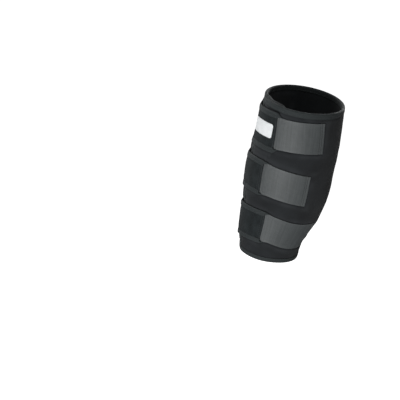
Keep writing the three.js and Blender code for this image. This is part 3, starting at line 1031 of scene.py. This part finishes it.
def make_label(strap):
    """Blank satin patch with a folded hem, and the stitches round it."""
    fine = np.linspace(*LABEL_TURNS, 200)
    point_at = partial(on_tab, strap)
    along = lengths(point_at(fine, 0, TAB))
    length = along[-1]
    half = LABEL_HEIGHT / 2
    s = spaced(length, 0.7)[:, None]
    offset = spaced(LABEL_HEIGHT, 0.7)[None, :] - half
    from_side = half - np.abs(offset)
    inset = corner_inset(LABEL_CORNER, from_side)
    turn = np.interp(inset + (length - 2 * inset) * (s / length), along, fine)
    edge = np.minimum(from_side, np.minimum(s, length - s))
    hem = LABEL_HEM * (1 - smooth(edge, 2.2, 3))
    dip = LABEL_DIP * bell(edge, LABEL_STITCH, 0.4)
    crown = 0.22 * smooth(edge, 2, 7) + 0.05 * soft_noise(s / 6, offset / 5, 41)
    bottom = TAB + LABEL_LIE
    thick = LABEL + hem - dip + crown
    rounding = round_edge(edge, 0.45)
    low = bottom + LABEL / 2 * (1 - rounding)
    top = bottom + LABEL / 2 + (thick - LABEL / 2) * rounding
    flat = paired(s, offset)
    wear = np.exp(-edge / 0.8)
    under = point_at(turn, LABEL_RISE + offset, low)
    over = point_at(turn, LABEL_RISE + offset, top)
    label = slab("label_patch", under, over, flat, wear, SATIN)
    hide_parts("label")

    corner = np.radians(np.linspace(0, 90, 7))
    sine = (LABEL_CORNER - LABEL_STITCH) * np.sin(corner)
    cosine = (LABEL_CORNER - LABEL_STITCH) * np.cos(corner)
    far = length - LABEL_CORNER
    high = half - LABEL_CORNER
    loop_s = np.concatenate([far + sine, far + cosine, LABEL_CORNER - sine, LABEL_CORNER - cosine])
    loop_v = np.concatenate([high + cosine, -high - sine, -high - cosine, high + sine])
    loop = paired(loop_s, loop_v)
    loop = np.concatenate([loop, loop[:1]])
    run = lengths(loop)
    around = along_line(np.linspace(0, run[-1], 240), run, loop)
    place = np.interp(around[:, 0], along, fine), LABEL_RISE + around[:, 1]
    row = row_on(point_at, place, bottom + LABEL + LABEL_HEM - LABEL_DIP)
    sewn = stitches("label_stitches", [row], WHITE_THREAD, pitch=2.1, length=1.5, thick=0.12)
    return label, sewn, length


wrap = make_wrap()
edge_binding, edge_stitches = make_edge_binding()
for strap in STRAPS:
    elastic, elastic_sewn, elastic_length = make_elastic(strap)
    tab, tape, tab_sewn, tab_length = make_tab(strap)
    if strap["name"] == "top":
        label, label_sewn, label_length = make_label(strap)


# Stage, light and camera


AMBIENT = 0.2  # light from all round
FLOOR = -1.4  # height of the floor
FLAT = 3  # radius of its flat part
CURVE = 4  # radius of the curve that it rises on
PALE = 0.9  # its shade
SPECKLE = 0.985  # share of it in the darker spots
GRAIN = 3.0
GLOW = 0.9


def floor_material():
    """Matt, with a little glow, so that it stays as pale as its shade."""
    c = Cloth("pale_floor")
    spots = c.add("TexNoise", {"Scale": GRAIN}).outputs["Fac"]
    inputs = {
        "Base Color": c.blend(spots, [PALE * SPECKLE] * 3, [PALE] * 3),
        "Roughness": 0.9,
        "Specular IOR Level": 0.1,
        "Emission Color": (1, 1, 1, 1),
        "Emission Strength": GLOW,
    }
    return c.shade(inputs)


floor_mesh = bpy.data.meshes.new("floor")
rise = np.radians(np.linspace(0, 90, 25))
profile = paired(FLAT + CURVE * np.sin(rise), FLOOR + CURVE * (1 - np.cos(rise)))
around = np.linspace(0, 2 * math.pi, 97)[:-1]
points = [(r * math.cos(a), r * math.sin(a), z) for r, z in profile for a in around]
index = np.arange(len(profile) * len(around)).reshape(len(profile), -1)
floor_mesh.from_pydata(points, [], [index[0].tolist(), *tube_faces(index).tolist()])
floor_mesh.materials.append(floor_material())
floor = bpy.data.objects.new("floor", floor_mesh)
floor.visible_diffuse = False  # its bounced light would flatten the dark cloth's shading
floor.visible_glossy = False
scene.collection.objects.link(floor)

world = bpy.data.worlds.new("studio")
world.use_nodes = True
background = world.node_tree.nodes["Background"].inputs
background["Color"].default_value = (1, 1, 1, 1)
background["Strength"].default_value = AMBIENT
world.cycles_visibility.glossy = False
scene.world = world


def direction(turn, elevation):
    """Unit vector from the object towards a turn and an elevation in degrees."""
    turn, elevation = math.radians(turn), math.radians(elevation)
    level = math.cos(elevation)
    return Vector((math.sin(turn) * level, -math.cos(turn) * level, math.sin(elevation)))


def soft_light(name, turn, elevation, distance, size, power):
    """A square soft box that faces the object from a direction."""
    towards = direction(turn, elevation)
    data = bpy.data.lights.new(name, "AREA")
    data.shape = "SQUARE"
    data.size = size
    data.energy = power
    light = bpy.data.objects.new(name, data)
    light.location = towards * distance
    light.rotation_euler = towards.to_track_quat("Z", "Y").to_euler()
    light.visible_camera = False
    scene.collection.objects.link(light)


soft_light("key", turn=75, elevation=-20, distance=1.9, size=0.6, power=31)
soft_light("top", turn=79, elevation=62, distance=1.9, size=0.6, power=8)
soft_light("back", turn=248, elevation=15, distance=2.2, size=0.9, power=34)
soft_light("far_side", turn=318, elevation=15, distance=2.2, size=0.9, power=26)

# The camera looks down on the strapped side, rolled so that the object leans.
TURN = 90
ELEVATION = 24.555
ROLL = math.radians(11.757)
DISTANCE = 1.4
FOCAL = 987  # pixels
AIM = (289.44, 178.24)  # pixel where the object's origin lands
IMAGE = 400  # pixels across
SENSOR = 36  # millimetres across

back = direction(TURN, ELEVATION)
level_right = Vector((0, 0, 1)).cross(back).normalized()
level_up = back.cross(level_right)
right = math.cos(ROLL) * level_right + math.sin(ROLL) * level_up
up = -math.sin(ROLL) * level_right + math.cos(ROLL) * level_up
aimed = Matrix((right, up, back)).transposed()
ray = Vector(((AIM[0] - IMAGE / 2) / FOCAL, -(AIM[1] - IMAGE / 2) / FOCAL, -1)).normalized()
swing = Vector((0, 0, -1)).rotation_difference(ray).to_matrix()
camera_data = bpy.data.cameras.new("camera")
camera_data.sensor_width = SENSOR
camera_data.lens = FOCAL / IMAGE * SENSOR
camera = bpy.data.objects.new("camera", camera_data)
camera.matrix_world = Matrix.Translation(back * DISTANCE) @ (aimed @ swing.transposed()).to_4x4()
scene.collection.objects.link(camera)
scene.camera = camera
scene.view_settings.view_transform = "Standard"
scene.view_settings.look = "None"
